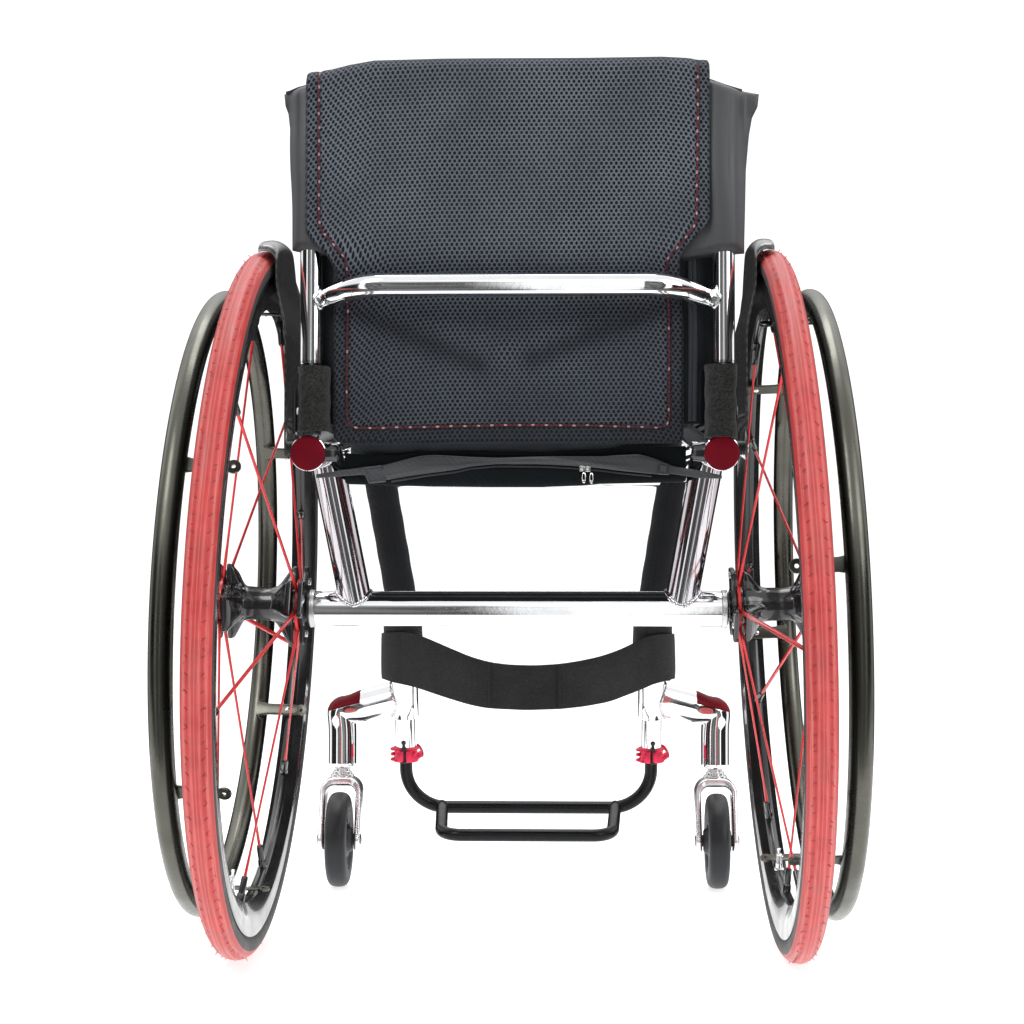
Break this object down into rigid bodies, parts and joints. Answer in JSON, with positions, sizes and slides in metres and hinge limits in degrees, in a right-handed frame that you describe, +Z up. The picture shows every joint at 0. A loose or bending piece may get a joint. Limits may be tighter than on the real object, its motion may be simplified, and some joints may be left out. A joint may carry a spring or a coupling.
{
  "type": "rigid manual wheelchair",
  "caption": "Rigid manual wheelchair with cambered quick-release wheels, handrims, swivel castors, fold-down back, sling seat with cushion and a tubular footrest.",
  "frame": {"origin": "on the floor under the middle of the whole chair", "axes": "+Y is the way the chair drives, +X is the sitter's right-hand side, +Z is up"},
  "size_m": [0.5556, 0.7666, 0.7455],
  "materials": {
    "polished_aluminium": "polished",
    "brushed_aluminium": "brushed",
    "red_anodised": "dark red anodised",
    "bright_red_anodised": "red anodised",
    "red_tyre_rubber": "matte red tread",
    "black_rubber": "satin",
    "black_rim": "black anodised",
    "gunmetal_handrim": "satin anodised",
    "black_anodised": "black anodised",
    "red_spoke": "gloss",
    "bright_steel": "bright",
    "black_paint": "gloss black powder coat",
    "carbon_fibre": "clear-coated carbon weave",
    "black_fabric": "matte",
    "spacer_mesh_fabric": "open mesh",
    "grey_fabric": "smooth coated cloth",
    "black_webbing": "ribbed webbing",
    "black_neoprene": "jersey-faced neoprene"
  },
  "bodies": {
    "frame": {"left_frame_tube": "polished_aluminium", "left_tube_cap": "red_anodised", "left_strut": "polished_aluminium", "left_castor_arm": "polished_aluminium", "left_castor_barrel": "polished_aluminium", "left_arm_cap": "red_anodised", "left_side_guard": "carbon_fibre", "left_hinge_bracket": "black_anodised", "left_hinge_pin": "bright_steel", "left_leg_sleeve": "black_neoprene", "left_footrest_clamp": "bright_red_anodised", "left_axle_receiver": "brushed_aluminium", "right_frame_tube": "polished_aluminium", "right_tube_cap": "red_anodised", "right_strut": "polished_aluminium", "right_castor_arm": "polished_aluminium", "right_castor_barrel": "polished_aluminium", "right_arm_cap": "red_anodised", "right_side_guard": "carbon_fibre", "right_hinge_bracket": "black_anodised", "right_hinge_pin": "bright_steel", "right_leg_sleeve": "black_neoprene", "right_footrest_clamp": "bright_red_anodised", "right_axle_receiver": "brushed_aluminium", "camber_tube": "polished_aluminium", "front_cross_tube": "polished_aluminium", "seat_sling": "black_fabric", "seat_cushion": "black_fabric", "calf_strap": "black_webbing"},
    "backrest": {"left_back_post": "polished_aluminium", "right_back_post": "polished_aluminium", "rigidiser_bar": "polished_aluminium", "back_upholstery": "grey_fabric", "back_cover": "spacer_mesh_fabric"},
    "footrest": {"footrest_frame": "black_paint", "footrest_loop": "black_paint"},
    "left_axle": {"left_axle_pin": "bright_steel"},
    "left_button": {"left_release_button": "bright_steel"},
    "left_wheel": {"left_tyre": "red_tyre_rubber", "left_rim": "black_rim", "left_handrim": "gunmetal_handrim", "left_hub": "black_anodised", "left_spokes_inner": "red_spoke", "left_spokes_outer": "red_spoke"},
    "left_fork": {"left_fork": "brushed_aluminium", "left_castor_axle": "black_anodised"},
    "left_castor_wheel": {"left_castor_tyre": "black_rubber", "left_castor_hub": "black_anodised"},
    "right_axle": {"right_axle_pin": "bright_steel"},
    "right_button": {"right_release_button": "bright_steel"},
    "right_wheel": {"right_tyre": "red_tyre_rubber", "right_rim": "black_rim", "right_handrim": "gunmetal_handrim", "right_hub": "black_anodised", "right_spokes_inner": "red_spoke", "right_spokes_outer": "red_spoke"},
    "right_fork": {"right_fork": "brushed_aluminium", "right_castor_axle": "black_anodised"},
    "right_castor_wheel": {"right_castor_tyre": "black_rubber", "right_castor_hub": "black_anodised"}
  },
  "joints": [
    {"name": "backrest_fold", "type": "hinge", "parent": "frame", "child": "backrest", "pos_m": [0, -0.19367, 0.462], "axis": [-1, 0, 0], "range_deg": [0, 66]},
    {"name": "footrest_height", "type": "slide", "parent": "frame", "child": "footrest", "axis": [0, -0.3032, 0.9529], "range_m": [-0.03, 0.008]},
    {"name": "left_axle_slide", "type": "slide", "parent": "frame", "child": "left_axle", "axis": [-0.9993, 0, 0.0372], "range_m": [0, 0.12]},
    {"name": "left_wheel_spin", "type": "hinge", "parent": "left_axle", "child": "left_wheel", "pos_m": [-0.2252, -0.07867, 0.3043], "axis": [-0.9993, 0, 0.0372], "continuous": true},
    {"name": "left_release_button", "type": "slide", "parent": "left_axle", "child": "left_button", "axis": [0.9993, 0, -0.0372], "range_m": [0, 0.004], "stiffness_N_per_m": 1500},
    {"name": "left_castor_swivel", "type": "hinge", "parent": "frame", "child": "left_fork", "pos_m": [-0.201, 0.35633, 0.145], "axis": [0, 0, 1], "continuous": true},
    {"name": "left_castor_spin", "type": "hinge", "parent": "left_fork", "child": "left_castor_wheel", "pos_m": [-0.201, 0.32833, 0.05], "axis": [1, 0, 0], "continuous": true},
    {"name": "right_axle_slide", "type": "slide", "parent": "frame", "child": "right_axle", "axis": [0.9993, 0, 0.0372], "range_m": [0, 0.12]},
    {"name": "right_wheel_spin", "type": "hinge", "parent": "right_axle", "child": "right_wheel", "pos_m": [0.2252, -0.07867, 0.3043], "axis": [0.9993, 0, 0.0372], "continuous": true},
    {"name": "right_release_button", "type": "slide", "parent": "right_axle", "child": "right_button", "axis": [-0.9993, 0, -0.0372], "range_m": [0, 0.004], "stiffness_N_per_m": 1500},
    {"name": "right_castor_swivel", "type": "hinge", "parent": "frame", "child": "right_fork", "pos_m": [0.201, 0.35633, 0.145], "axis": [0, 0, 1], "continuous": true},
    {"name": "right_castor_spin", "type": "hinge", "parent": "right_fork", "child": "right_castor_wheel", "pos_m": [0.201, 0.32833, 0.05], "axis": [1, 0, 0], "continuous": true}
  ]
}
